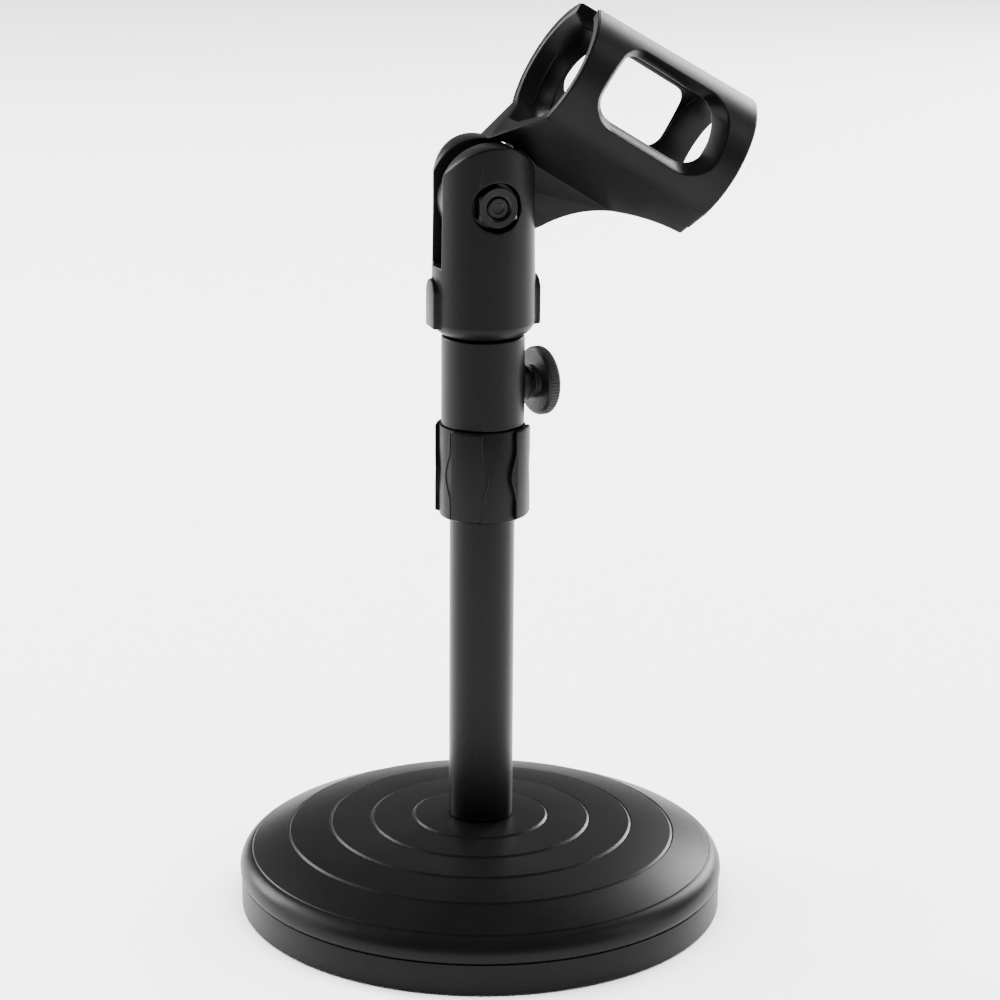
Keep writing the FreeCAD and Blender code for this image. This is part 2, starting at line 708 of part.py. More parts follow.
def build_pivot():
    """Hex bolt from the back ear to the front one, its nut and a washer under each."""
    seat = "nut_recess_floor + pivot_washer_thickness"
    head = hexagon("pivot_head", "pivot_flats", "pivot_head_height", along_pivot(seat, 1))
    shank = cylinder("pivot_shank", "pivot_bolt_radius", f"pivot_bolt_end + {seat}",
                     along_pivot("0 - pivot_bolt_end", 1))
    joined_pair("pivot_bolt", "Fuse", head, shank)
    nut = hexagon("nut_prism", "pivot_flats", "pivot_head_height", along_pivot(seat, -1))
    thread = cylinder("nut_thread", "pivot_bolt_radius", "pivot_head_height", along_pivot(seat, -1))
    joined_pair("pivot_nut", "Cut", nut, thread)
    outside = cylinder("washer_outside", "pivot_washer_radius", f"2 * ({seat})",
                       along_pivot(f"0 - {seat}".replace("+", "-"), 1))
    inside = cylinder("washer_inside", "pivot_bolt_radius", f"2 * ({seat})",
                      along_pivot(f"0 - {seat}".replace("+", "-"), 1))
    ring = doc.addObject("Part::Cut", "washer_ring")
    ring.Base = outside
    ring.Tool = inside
    middle = cylinder("washer_middle", "pivot_washer_radius + 1", "2 * nut_recess_floor",
                      along_pivot("0 - nut_recess_floor", 1))
    joined_pair("pivot_washers", "Cut", ring, middle)


# Clip

def lower_edge():
    """The two arcs of the clip's lower edge, from the arch's middle to the front face."""
    front = "clip_length - clip_rear_set"
    return [("arch_mid_reach", "arch_mid_rise"),
            (front, "arch_end_rise", "arch_front_round", -1)]


def clip_outline(radius, foot):
    """The clip's cross-section: a ring on two flat flanks that meet at the tongue."""
    reach = f"({radius}) * sqrt(1 - flank_start ^ 2)"
    rise = f"ring_rise - ({radius}) * flank_start"
    return [
        ("tongue_thickness / 2", foot), (reach, rise), ("0", f"ring_rise + {radius}", radius, 1),
        (f"0 - {reach}", rise, radius, 1), ("0 - tongue_thickness / 2", foot),
    ]


def build_clip_shell(body):
    """Loft the flared ring and its flanks from rim to rim, with a small bevel on both rims."""
    front = "clip_length - clip_rear_set"
    wide = "ring_radius + ring_flare"
    stations = [
        ("0 - clip_rear_set", "ring_radius - rim_bevel"), ("rim_bevel - clip_rear_set", "ring_radius"),
        (f"{front} - rim_bevel", wide), (front, f"{wide} - rim_bevel"),
    ]
    sections = []
    for index, (reach, radius) in enumerate(stations):
        section = new_sketch(body, "YZ_Plane", f"clip_section_{index + 1}", reach)
        draw_outline(section, clip_outline(radius, "crease_rise"))
        sections.append(section)
    shell = body.newObject("PartDesign::AdditiveLoft", "clip_shell")
    shell.Profile = sections[0]
    shell.Sections = sections[1:]
    shell.Ruled = True


def add_heel(body):
    """Carry the two flanks back over the ears, with a rear edge that slopes down to the heel."""
    reach = "ring_radius * sqrt(1 - flank_start ^ 2)"
    rise = "ring_rise - ring_radius * flank_start"
    heel = new_sketch(body, "YZ_Plane", "heel_section", "rim_bevel - clip_rear_set")
    draw_outline(heel, [
        ("tongue_thickness / 2", "crease_rise"), (reach, rise), (f"0 - {reach}", rise),
        ("0 - tongue_thickness / 2", "crease_rise"),
    ])
    extrude(body, "heel", heel, "heel_reach + rim_bevel", backwards=True)
    slope = new_sketch(body, "XZ_Plane", "heel_slope_outline")
    draw_outline(slope, [
        ("0 - clip_rear_set", rise), ("0 - heel_reach", "ear_room_radius * 0.8"),
        ("0 - heel_reach - clip_rear_set - 2", "ear_room_radius * 0.8"),
        ("0 - heel_reach - clip_rear_set - 2", f"{rise} + 2"), ("0 - clip_rear_set", f"{rise} + 2"),
    ])
    extrude(body, "heel_slope", slope, None, "Pocket", symmetric=True)


def cut_lead_in(body):
    """Widen the bore's rear end to a thin rim that narrows to the bore."""
    outline = clip_outline("ring_radius - rim_wall", "lead_in_floor")
    behind = new_sketch(body, "YZ_Plane", "rear_opening_outline", "0 - clip_rear_set")
    draw_outline(behind, outline)
    extrude(body, "rear_opening", behind, None, "Pocket")
    inward = new_sketch(body, "YZ_Plane", "lead_in_outline", "0 - clip_rear_set")
    draw_outline(inward, outline)
    lead_in = extrude(body, "lead_in", inward, "lead_in_length", "Pocket", backwards=True)
    lead_in.setExpression("TaperAngle", bound("0 - lead_in_draft"))


def build_clip():
    """Spring clip: an open ring with two flat flanks that run down to its tongue."""
    body = new_body("clip_holder")
    front = "clip_length - clip_rear_set"
    build_clip_shell(body)
    add_heel(body)
    under = new_sketch(body, "XZ_Plane", "front_arch_outline")
    draw_outline(under, lower_edge() + [(f"{front} + 2", "arch_end_rise"), (f"{front} + 2", "0"),
                                        ("arch_mid_reach", "0")])
    extrude(body, "front_arch", under, None, "Pocket", symmetric=True)
    room = new_sketch(body, "XZ_Plane", "ear_room_outline")
    draw_circle(room, "0", "0", "ear_room_radius")
    extrude(body, "ear_room", room, None, "Pocket", symmetric=True)
    web = new_sketch(body, "XZ_Plane", "tongue_outline")
    draw_outline(web, [
        ("0 - clip_rear_set", "ring_rise - bore_radius"), ("0 - clip_rear_set", "0"),
        ("tongue_radius * 0.6", "0 - tongue_radius * 0.79"), ("arch_start_reach", "arch_start_rise"),
        ("arch_mid_reach", "arch_mid_rise", "arch_rear_round", -1),
        (front, "arch_end_rise", "arch_front_round", -1), (front, "ring_rise - bore_radius"),
    ])
    extrude(body, "tongue", web, "tongue_thickness", symmetric=True)
    disc = new_sketch(body, "XZ_Plane", "tongue_disc_outline")
    draw_circle(disc, "0", "0", "tongue_radius")
    extrude(body, "tongue_disc", disc, "tongue_thickness", symmetric=True)
    cut_bore(body)
    cut_lead_in(body)
    for side in (1, -1):
        cut_window(body, side)
    hole = new_sketch(body, "XZ_Plane", "pivot_bore_outline")
    draw_circle(hole, "0", "0", "pivot_bolt_radius + running_clearance")
    extrude(body, "pivot_bore", hole, None, "Pocket", symmetric=True)
    body.Placement = FreeCAD.Placement(V(0, 0, 0), FreeCAD.Rotation(V(0, 1, 0), number("clip_lean")))
    body.setExpression(".Placement.Base.z", bound("fork_foot + pivot_rise"))
    return body


def cut_bore(body):
    """The bore with a land near each rim and a little relief between them, open at the top."""
    centre = "ring_rise + bore_lift"
    bore = new_sketch(body, "YZ_Plane", "clip_bore_outline")
    draw_circle(bore, "0", centre, "bore_radius")
    extrude(body, "clip_bore", bore, None, "Pocket", symmetric=True)
    relief = new_sketch(body, "YZ_Plane", "bore_relief_outline", "bore_land - clip_rear_set")
    draw_circle(relief, "0", centre, "bore_radius + bore_relief")
    extrude(body, "bore_relief", relief, "clip_length - 2 * bore_land", "Pocket", backwards=True)
    mouth = new_sketch(body, "YZ_Plane", "mouth_outline")
    draw_outline(mouth, rectangle("0 - mouth_width / 2", "mouth_width / 2", centre,
                                  "ring_rise + ring_radius + 5"))
    extrude(body, "mouth", mouth, None, "Pocket", symmetric=True)


def cut_window(body, side):
    """One round-cornered window through a side wall, its edges leaning in towards the bore."""
    rear = "window_setback - clip_rear_set"
    front = "window_setback - clip_rear_set + window_length"
    low = "ring_rise - window_drop"
    high = "ring_rise + ring_radius + ring_flare - window_rim"
    name = "front_window" if side > 0 else "back_window"
    outline = new_sketch(body, "XZ_Plane", name + "_outline", f"{side} * (ring_radius + ring_flare)")
    draw_outline(outline, [
        (f"{front} - window_round", low),
        (front, f"{low} + window_round", "window_round", 1), (front, f"{high} - window_round"),
        (f"{front} - window_round", high, "window_round", 1), (f"{rear} + window_round", high),
        (rear, f"{high} - window_round", "window_round", 1), (rear, f"{low} + window_round"),
        (f"{rear} + window_round", low, "window_round", 1),
    ])
    depth = "ring_radius + ring_flare - mouth_width / 2 - 0.2"
    window = extrude(body, name, outline, depth, "Pocket", backwards=side < 0)
    window.setExpression("TaperAngle", bound("0 - window_draft"))


def check_document():
    """Stop if any object failed or any sub-part is empty or not valid."""
    for item in doc.Objects:
        if {"Invalid", "Error"} & set(item.State):
            raise RuntimeError(f"{item.Label} failed: {item.State}")
    for piece in pieces:
        if piece.Shape.isNull() or not piece.Shape.isValid() or not piece.Shape.Solids:
            raise RuntimeError(f"{piece.Label} has no valid solid")


def write_parts():
    """Write each sub-part's shape to its own STEP file."""
    os.makedirs("parts", exist_ok=True)
    for piece in pieces:
        piece.Shape.exportStep(f"parts/{piece.Label}.step")
        print(f"{piece.Label}: {piece.Shape.Volume / 1000:.2f} cm3, {len(piece.Shape.Solids)} solid(s)")


build_base()
build_clutch_body()
build_collet()
build_collar()
build_thumb_screw()
build_post()
build_fork()
build_pivot()
build_clip()
doc.recompute()
check_document()
write_parts()
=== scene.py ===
"""Looks of a desktop microphone stand: weighted base, height post, twist clutch and spring clip.

Metres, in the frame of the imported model. Sizes below are written in millimetres and turned by MM.
"""

import json
import logging
import math
from dataclasses import dataclass, field
from enum import Enum
from typing import Any, Iterable, Sequence

import bmesh
import bpy
from mathutils import Matrix, Vector


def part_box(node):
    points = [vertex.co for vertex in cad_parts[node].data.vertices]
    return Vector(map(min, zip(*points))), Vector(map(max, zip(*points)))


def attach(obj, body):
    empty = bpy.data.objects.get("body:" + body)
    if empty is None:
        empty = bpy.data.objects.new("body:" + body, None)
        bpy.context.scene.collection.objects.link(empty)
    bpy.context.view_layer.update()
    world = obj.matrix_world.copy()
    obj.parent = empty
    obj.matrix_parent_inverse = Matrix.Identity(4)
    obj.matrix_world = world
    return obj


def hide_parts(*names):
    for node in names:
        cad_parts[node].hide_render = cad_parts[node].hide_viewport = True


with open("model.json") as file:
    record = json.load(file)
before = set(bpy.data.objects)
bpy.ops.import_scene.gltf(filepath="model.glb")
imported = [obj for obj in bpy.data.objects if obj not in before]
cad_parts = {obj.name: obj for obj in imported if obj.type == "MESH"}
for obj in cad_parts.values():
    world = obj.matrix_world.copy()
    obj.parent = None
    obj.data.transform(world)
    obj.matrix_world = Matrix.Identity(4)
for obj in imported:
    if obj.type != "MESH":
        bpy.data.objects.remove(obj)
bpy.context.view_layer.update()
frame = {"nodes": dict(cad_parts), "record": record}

MM = 0.001
WELD = 0.003 * MM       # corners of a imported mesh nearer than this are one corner
SEAM = 1e-7             # corners of a turned mesh nearer than this are one corner
Path = list[tuple[float, float]]
log = logging.getLogger("stand")


class Body(Enum):
    """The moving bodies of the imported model."""

    STAND = "stand"
    COLLAR = "collar"
    SCREW = "thumb_screw"
    POST = "post"
    SWIVEL = "clip_swivel"
    CLIP = "clip"


class Slot(Enum):
    """The record's material slots."""

    FOOT = "foot_rubber"
    ZINC = "zinc_steel"
    IRON = "cast_iron"
    BASE = "abs_base"
    TUBE = "painted_tube"
    SLEEVE = "abs_sleeve"
    COLLAR = "abs_collar"
    KNOB = "abs_knob"
    FORK = "abs_clip_base"
    CLIP = "abs_clip"
    NYLON = "nylon"
    BRASS = "brass"
    BLACK_ZINC = "black_zinc"


# Node helpers

def linear(code: str) -> tuple[float, float, float, float]:
    """Turn an sRGB hex colour to linear RGBA.

    Args:
        code: six hex digits, with or without a leading hash.

    Returns:
        Red, green, blue and an alpha of one.
    """
    digits = code.lstrip("#")
    parts = [int(digits[i:i + 2], 16) / 255 for i in (0, 2, 4)]
    red, green, blue = (p / 12.92 if p <= 0.04045 else ((p + 0.055) / 1.055) ** 2.4 for p in parts)
    return red, green, blue, 1.0


def add_node(tree: bpy.types.NodeTree, kind: str, settings: dict[Any, Any] | None = None,
             links: dict[Any, Any] | None = None) -> bpy.types.Node:
    """Add a node with its settings and its incoming links.

    Args:
        tree: the tree to add to.
        kind: the node's type name.
        settings: properties by name, or socket values by socket name or number.
        links: sockets that feed it, by the name or number of the input.

    Returns:
        The new node.
    """
    node = tree.nodes.new(kind)
    for key, value in (settings or {}).items():
        if isinstance(key, str) and hasattr(node, key):
            setattr(node, key, value)
        else:
            node.inputs[key].default_value = value
    for key, source in (links or {}).items():
        tree.links.new(source, node.inputs[key])
    return node


# Finishes

@dataclass(frozen=True)
class Finish:
    """One surface: its colours, its shine and the grain that its process leaves.

    Attributes:
        name: the real material and process.
        colour: main colour, sRGB hex.
        tint: colour of the faint cloudy patches, sRGB hex.
        roughness: smoothest and roughest value over the grain.
        grain: width of one grain in millimetres.
        depth: height of the grain in millimetres.
        patch: width of the cloudy patches in millimetres.
        metallic: one for a metal, nought otherwise.
        stretch: how much longer the grain is round the part than along it.
        specular: strength of the surface shine; dull black pigments sit well under one half.
        sheen: soft light at grazing angles.
    """

    name: str
    colour: str
    tint: str
    roughness: tuple[float, float]
    grain: float
    depth: float
    patch: float = 14.0
    metallic: float = 0.0
    stretch: tuple[float, float, float] = (1.0, 1.0, 1.0)
    specular: float = 0.5
    sheen: float = 0.0

    def build(self) -> bpy.types.Material:
        """Make the material's node tree.

        Returns:
            The finished material.
        """
        material = bpy.data.materials.new(self.name)
        material.use_nodes = True
        tree = material.node_tree
        tree.nodes.clear()
        place = add_node(tree, "ShaderNodeTexCoord").outputs["Object"]
        drawn = add_node(tree, "ShaderNodeMapping", {"Scale": self.stretch}, {"Vector": place}).outputs[0]
        grain = add_node(tree, "ShaderNodeTexNoise",
                         {"Scale": 1 / (self.grain * MM), "Detail": 3.0, "Roughness": 0.55},
                         {"Vector": drawn}).outputs["Fac"]
        patch = add_node(tree, "ShaderNodeTexNoise",
                         {"Scale": 1 / (self.patch * MM), "Detail": 2.0}, {"Vector": place}).outputs["Fac"]
        shade = add_node(tree, "ShaderNodeMapRange", {"From Min": 0.35, "From Max": 0.7},
                         {"Value": patch}).outputs["Result"]
        colour = add_node(tree, "ShaderNodeMix",
                          {"data_type": "RGBA", 6: linear(self.colour), 7: linear(self.tint)},
                          {0: shade}).outputs[2]
        shine = add_node(tree, "ShaderNodeMapRange",
                         {"From Min": 0.3, "From Max": 0.7, "To Min": self.roughness[0],
                          "To Max": self.roughness[1]}, {"Value": grain}).outputs["Result"]
        bump = add_node(tree, "ShaderNodeBump", {"Strength": 1.0, "Distance": self.depth * MM},
                        {"Height": grain}).outputs["Normal"]
        shader = add_node(tree, "ShaderNodeBsdfPrincipled",
                          {"Metallic": self.metallic, "Specular IOR Level": self.specular,
                           "Sheen Weight": self.sheen},
                          {"Base Color": colour, "Roughness": shine, "Normal": bump})
        add_node(tree, "ShaderNodeOutputMaterial", links={"Surface": shader.outputs["BSDF"]})
        return material


FINISHES: dict[Slot, Finish] = {
    # Moulded ABS from a spark-eroded tool: near black, an even satin with a grain felt more than seen.
    Slot.BASE: Finish("abs_moulded_satin_cover", "#040404", "#060607", (0.33, 0.43), 0.55, 0.006,
                      specular=0.09),
    Slot.SLEEVE: Finish("abs_moulded_satin_sleeve", "#030303", "#050505", (0.36, 0.46), 0.45, 0.006,
                        specular=0.09),
    Slot.COLLAR: Finish("abs_moulded_satin_collar", "#050505", "#070708", (0.38, 0.50), 0.45, 0.008,
                        specular=0.09),
    Slot.FORK: Finish("abs_moulded_satin_clip_base", "#030303", "#050505", (0.36, 0.46), 0.5, 0.006,
                      specular=0.09),
    Slot.CLIP: Finish("nylon_abs_moulded_clip", "#020202", "#040405", (0.34, 0.45), 0.5, 0.006,
                      specular=0.10),
    # The knob's tool is coarser, so its rim looks finely speckled.
    Slot.KNOB: Finish("abs_moulded_coarse_grain_knob", "#0a0a0a", "#171718", (0.40, 0.58), 0.6, 0.025,
                      specular=0.2),
    # Powder coat on drawn tube: black, a little smoother than the plastic, with a faint orange peel.
    Slot.TUBE: Finish("steel_tube_black_powder_coat", "#040404", "#030303", (0.30, 0.38), 0.9, 0.006,
                      specular=0.10),
    # Rubber foot: dull dark grey, dusty in patches.
    Slot.FOOT: Finish("rubber_moulded_matt", "#232323", "#2c2b2a", (0.75, 0.92), 0.5, 0.02, sheen=0.2),
    # Sand cast and painted weight: rough grey black skin.
    Slot.IRON: Finish("iron_sand_cast_painted", "#2b2b2c", "#37352f", (0.6, 0.8), 1.2, 0.12),
    # Bright zinc plate: pale blue grey with rolled streaks.
    Slot.ZINC: Finish("steel_bright_zinc_plated", "#b9bdc2", "#a3a8ae", (0.22, 0.38), 0.6, 0.004,
                      metallic=1.0, stretch=(1.0, 1.0, 4.0)),
    # Black zinc on the pivot's bolt and nut: dark metal that still throws bright arcs.
    Slot.BLACK_ZINC: Finish("steel_black_zinc_plated", "#1c1c1d", "#262627", (0.28, 0.4), 0.5, 0.006,
                            metallic=1.0),
    Slot.BRASS: Finish("brass_turned", "#c9a45a", "#b08d48", (0.2, 0.34), 0.4, 0.004, metallic=1.0,
                       stretch=(1.0, 1.0, 6.0)),
    Slot.NYLON: Finish("nylon_natural_moulded", "#cfcabb", "#bdb7a6", (0.42, 0.55), 0.6, 0.006),
}


@dataclass
class Paintshop:
    """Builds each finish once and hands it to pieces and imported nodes."""

    made: dict[Slot, bpy.types.Material] = field(default_factory=dict)

    def material(self, slot: Slot) -> bpy.types.Material:
        """Find the material of a slot, building it the first time that it is asked for.

        Args:
            slot: the slot's name in the frame.

        Returns:
            The slot's one material.
        """
        if slot not in self.made:
            self.made[slot] = FINISHES[slot].build()
        return self.made[slot]

    def dress_nodes(self) -> None:
        """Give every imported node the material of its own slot, in all its material slots."""
        slots = {entry["node"]: Slot(entry["material_slot"]) for entry in frame["record"]["subparts"]}
        for name, node in frame["nodes"].items():
            node.data.materials.clear()
            node.data.materials.append(self.material(slots[name]))


PAINT = Paintshop()


# Mesh helpers

def new_piece(name: str, mesh: bpy.types.ID) -> bpy.types.Object:
    """Put a mesh in the scene as an object at the origin.

    Args:
        name: the piece's name.
        mesh: its mesh, or any other data that an object can hold.

    Returns:
        The new object.
    """
    piece = bpy.data.objects.new(name, mesh)
    bpy.context.scene.collection.objects.link(piece)
    return piece


def soften(piece: bpy.types.Object, degrees: float = 34.0) -> None:
    """Shade a piece smooth but keep its sharper edges.

    Args:
        piece: the mesh object.
        degrees: edges that turn by more than this stay sharp.
    """
    piece.data.shade_smooth()
    mesh = bmesh.new()
    mesh.from_mesh(piece.data)
    for edge in mesh.edges:
        edge.smooth = edge.calc_face_angle(0.0) < math.radians(degrees)
    mesh.to_mesh(piece.data)
    mesh.free()


def settle(piece: bpy.types.Object, body: Body, slot: Slot, replaced: Iterable[str] = ()) -> None:
    """Finish a piece: give it its material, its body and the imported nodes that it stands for.

    Args:
        piece: the finished mesh object.
        body: the body that it moves with.
        slot: its material slot.
        replaced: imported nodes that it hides.
    """
    piece.data.materials.clear()
    piece.data.materials.append(PAINT.material(slot))
    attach(piece, body.value)
    names = list(replaced)
    if names:
        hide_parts(*names)
    log.info("%s: %d faces on %s", piece.name, len(piece.data.polygons), body.value)


def apply_modifiers(piece: bpy.types.Object) -> None:
    """Replace a piece's mesh by what its modifiers make of it, and take them off.

    Args:
        piece: the object with its modifiers live.
    """
    graph = bpy.context.evaluated_depsgraph_get()
    made = bpy.data.meshes.new_from_object(piece.evaluated_get(graph))
    piece.modifiers.clear()
    piece.data = made


def round_corners(corners: Sequence[tuple[float, ...]], steps: int = 5) -> Path:
    """Turn a closed outline of corners into points, each corner rounded by its own radius.

    Args:
        corners: (across, up) or (across, up, radius) in millimetres.
        steps: points on each rounded corner, less one.

    Returns:
        The closed outline's points, in order.
    """
    points: Path = []
    for index, corner in enumerate(corners):
        here = Vector(corner[:2])
        if len(corner) == 2:
            points.append((here.x, here.y))
            continue
        back = Vector(corners[index - 1][:2]) - here
        ahead = Vector(corners[(index + 1) % len(corners)][:2]) - here
        half = back.angle(ahead) / 2
        reach = min(corner[2] / math.tan(half), back.length * 0.45, ahead.length * 0.45)
        start, end = here + back.normalized() * reach, here + ahead.normalized() * reach
        for step in range(steps + 1):
            t = step / steps
            point = start * (1 - t) ** 2 + here * 2 * t * (1 - t) + end * t ** 2
            points.append((point.x, point.y))
    return points


def arc_points(start: tuple[float, float], end: tuple[float, float], radius: float,
               steps: int = 16) -> Path:
    """Points strictly between two ends of an arc that bulges to the right of its chord.

    Args:
        start: first end, across and up.
        end: last end.
        radius: the arc's radius.
        steps: parts that the arc is cut in.

    Returns:
        The points between the two ends.
    """
    a, b = Vector(start), Vector(end)
    chord = b - a
    side = Vector((-chord.y, chord.x)).normalized()
    centre = (a + b) / 2 + side * math.sqrt(radius ** 2 - (chord.length / 2) ** 2)
    first = math.atan2(a.y - centre.y, a.x - centre.x)
    sweep = 2 * math.asin(chord.length / 2 / radius)
    return [(centre.x + radius * math.cos(first + sweep * i / steps),
             centre.y + radius * math.sin(first + sweep * i / steps)) for i in range(1, steps)]


def lathe(name: str, outline: Path, segments: int = 160, placing: Matrix | None = None
          ) -> bpy.types.Object:
    """Turn a closed outline about the Z axis.

    Args:
        name: the piece's name.
        outline: (radius, height) points in millimetres.
        segments: how many flats make the round.
        placing: where the turned piece goes.

    Returns:
        A smooth closed mesh object.
    """
    mesh = bmesh.new()
    rings = []
    for index in range(segments):
        turn = 2 * math.pi * index / segments
        rings.append([mesh.verts.new((r * MM * math.cos(turn), r * MM * math.sin(turn), z * MM))
                      for r, z in outline])
    for index, ring in enumerate(rings):
        following = rings[(index + 1) % segments]
        for place in range(len(outline)):
            after = (place + 1) % len(outline)
            mesh.faces.new((ring[place], following[place], following[after], ring[after]))
    bmesh.ops.remove_doubles(mesh, verts=mesh.verts, dist=SEAM)
    bmesh.ops.dissolve_degenerate(mesh, edges=mesh.edges, dist=SEAM)
    bmesh.ops.recalc_face_normals(mesh, faces=mesh.faces)
    data = bpy.data.meshes.new(name)
    mesh.to_mesh(data)
    mesh.free()
    if placing:
        data.transform(placing)
    piece = new_piece(name, data)
    soften(piece)
    return piece


def eased_copy(node: str, name: str, width: float, degrees: float = 30.0) -> bpy.types.Object:
    """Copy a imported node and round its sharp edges, as the mould's own edges are.

    Args:
        node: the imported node.
        name: the new piece's name.
        width: how far each edge is taken back, in millimetres.
        degrees: edges sharper than this are rounded.

    Returns:
        A closed mesh object.
    """
    data = frame["nodes"][node].data.copy()
    mesh = bmesh.new()
    mesh.from_mesh(data)
    bmesh.ops.remove_doubles(mesh, verts=mesh.verts, dist=WELD)
    bmesh.ops.dissolve_degenerate(mesh, edges=mesh.edges, dist=WELD)
    bmesh.ops.dissolve_limit(mesh, angle_limit=math.radians(0.5), verts=mesh.verts, edges=mesh.edges)
    mesh.to_mesh(data)
    mesh.free()
    piece = new_piece(name, data)
    bevel = piece.modifiers.new("eased_edges", "BEVEL")
    bevel.width = width * MM
    bevel.segments = 2
    bevel.limit_method = "ANGLE"
    bevel.angle_limit = math.radians(degrees)
    bevel.use_clamp_overlap = False
    apply_modifiers(piece)
    soften(piece)
    return piece


def true_round(piece: bpy.types.Object, placing: Matrix, radii: tuple[float, float]) -> None:
    """Give the corners on a piece's round wall the wall's own normal, so that light runs evenly.

    Args:
        piece: the mesh object.
        placing: a frame whose Z axis is the wall's axis.
        radii: the wall's smallest and largest radius in millimetres.
    """
    back, turn = placing.inverted(), placing.to_3x3()
    normals = []
    for face in piece.data.polygons:
        spots = [back @ piece.data.vertices[index].co for index in face.vertices]
        outs = [turn @ Vector((spot.x, spot.y, 0)).normalized() for spot in spots]
        on_wall = all(radii[0] <= Vector((spot.x, spot.y)).length / MM <= radii[1] for spot in spots)
        facing = all(face.normal.dot(out) > 0.97 for out in outs)
        normals += outs if on_wall and facing else [Vector()] * len(spots)
    piece.data.normals_split_custom_set(normals)


# Geometry Nodes

def new_tree(name: str, inputs: dict[str, tuple[str, Any]]) -> bpy.types.NodeTree:
    """Start a geometry tree with a geometry input, named sizes and a geometry output.

    Args:
        name: the tree's name.
        inputs: socket type and default of each named size.

    Returns:
        The tree, with its two group nodes in place.
    """
    tree = bpy.data.node_groups.new(name, "GeometryNodeTree")
    tree.interface.new_socket("Geometry", in_out="INPUT", socket_type="NodeSocketGeometry")
    for label, (kind, default) in inputs.items():
        socket = tree.interface.new_socket(label, in_out="INPUT", socket_type=kind)
        socket.default_value = default
    tree.interface.new_socket("Geometry", in_out="OUTPUT", socket_type="NodeSocketGeometry")
    add_node(tree, "NodeGroupInput")
    return tree


def end_tree(tree: bpy.types.NodeTree, geometry: bpy.types.NodeSocket,
             material: bpy.types.Material) -> None:
    """Close a tree with Realize Instances and Set Material.

    Args:
        tree: the tree to close.
        geometry: the socket that gives the tree's result.
        material: what the result is made of.
    """
    real = add_node(tree, "GeometryNodeRealizeInstances", links={0: geometry})
    painted = add_node(tree, "GeometryNodeSetMaterial", {"Material": material}, {0: real.outputs[0]})
    add_node(tree, "NodeGroupOutput", links={0: painted.outputs[0]})


def run_tree(piece: bpy.types.Object, tree: bpy.types.NodeTree, values: dict[str, Any]
             ) -> bpy.types.Object:
    """Run a geometry tree on a piece and keep the result as a plain mesh.

    Args:
        piece: the object that the tree works on.
        tree: the geometry tree.
        values: a value for each named size.

    Returns:
        A mesh object that takes the first one's place and name.
    """
    modifier = piece.modifiers.new(tree.name, "NODES")
    modifier.node_group = tree
    for item in tree.interface.items_tree:
        if item.item_type == "SOCKET" and item.in_out == "INPUT" and item.name in values:
            modifier[item.identifier] = values[item.name]
    graph = bpy.context.evaluated_depsgraph_get()
    made = bpy.data.meshes.new_from_object(piece.evaluated_get(graph))
    name = piece.name
    piece.modifiers.clear()
    bpy.data.objects.remove(piece)
    result = new_piece(name, made)
    result.data.shade_smooth()
    return result


def round_array_tree(name: str, material: bpy.types.Material) -> bpy.types.NodeTree:
    """Make a tree that stands copies of its input evenly round the Z axis.

    Args:
        name: the tree's name.
        material: what the copies are made of.

    Returns:
        The tree, with inputs Count, Radius, Height and Start.
    """
    tree = new_tree(name, {"Count": ("NodeSocketInt", 4), "Radius": ("NodeSocketFloat", 0.01),
                           "Height": ("NodeSocketFloat", 0.0), "Start": ("NodeSocketFloat", 0.0)})
    inlet = tree.nodes["Group Input"].outputs
    line = add_node(tree, "GeometryNodeMeshLine", {"mode": "OFFSET", "Offset": (0.0, 0.0, 0.0)},
                    {"Count": inlet["Count"]}).outputs[0]
    number = add_node(tree, "GeometryNodeInputIndex").outputs[0]
    share = add_node(tree, "ShaderNodeMath", {"operation": "DIVIDE"},
                     {0: number, 1: inlet["Count"]}).outputs[0]
    turn = add_node(tree, "ShaderNodeMath", {"operation": "MULTIPLY_ADD", 1: 2 * math.pi},
                    {0: share, 2: inlet["Start"]}).outputs[0]
    spin = add_node(tree, "ShaderNodeCombineXYZ", links={2: turn}).outputs[0]
    cosine = add_node(tree, "ShaderNodeMath", {"operation": "COSINE"}, {0: turn}).outputs[0]
    sine = add_node(tree, "ShaderNodeMath", {"operation": "SINE"}, {0: turn}).outputs[0]
    across = add_node(tree, "ShaderNodeMath", {"operation": "MULTIPLY"},
                      {0: cosine, 1: inlet["Radius"]}).outputs[0]
    along = add_node(tree, "ShaderNodeMath", {"operation": "MULTIPLY"},
                     {0: sine, 1: inlet["Radius"]}).outputs[0]
    place = add_node(tree, "ShaderNodeCombineXYZ",
                     links={0: across, 1: along, 2: inlet["Height"]}).outputs[0]
    spots = add_node(tree, "GeometryNodeSetPosition", links={0: line, "Position": place}).outputs[0]
    copies = add_node(tree, "GeometryNodeInstanceOnPoints",
                      links={"Points": spots, "Instance": inlet["Geometry"], "Rotation": spin}).outputs[0]
    end_tree(tree, copies, material)
    return tree


def bead_tree(name: str, material: bpy.types.Material) -> bpy.types.NodeTree:
    """Make a tree that sweeps a round bead along its input curve.

    Args:
        name: the tree's name.
        material: what the bead is made of.

    Returns:
        The tree, with inputs Radius and Sides.
    """
    tree = new_tree(name, {"Radius": ("NodeSocketFloat", 0.0003), "Sides": ("NodeSocketInt", 10)})
    inlet = tree.nodes["Group Input"].outputs
    profile = add_node(tree, "GeometryNodeCurvePrimitiveCircle",
                       links={"Resolution": inlet["Sides"], "Radius": inlet["Radius"]}).outputs[0]
    bead = add_node(tree, "GeometryNodeCurveToMesh", {"Fill Caps": True},
                    {"Curve": inlet["Geometry"], "Profile Curve": profile}).outputs[0]
    end_tree(tree, bead, material)
    return tree


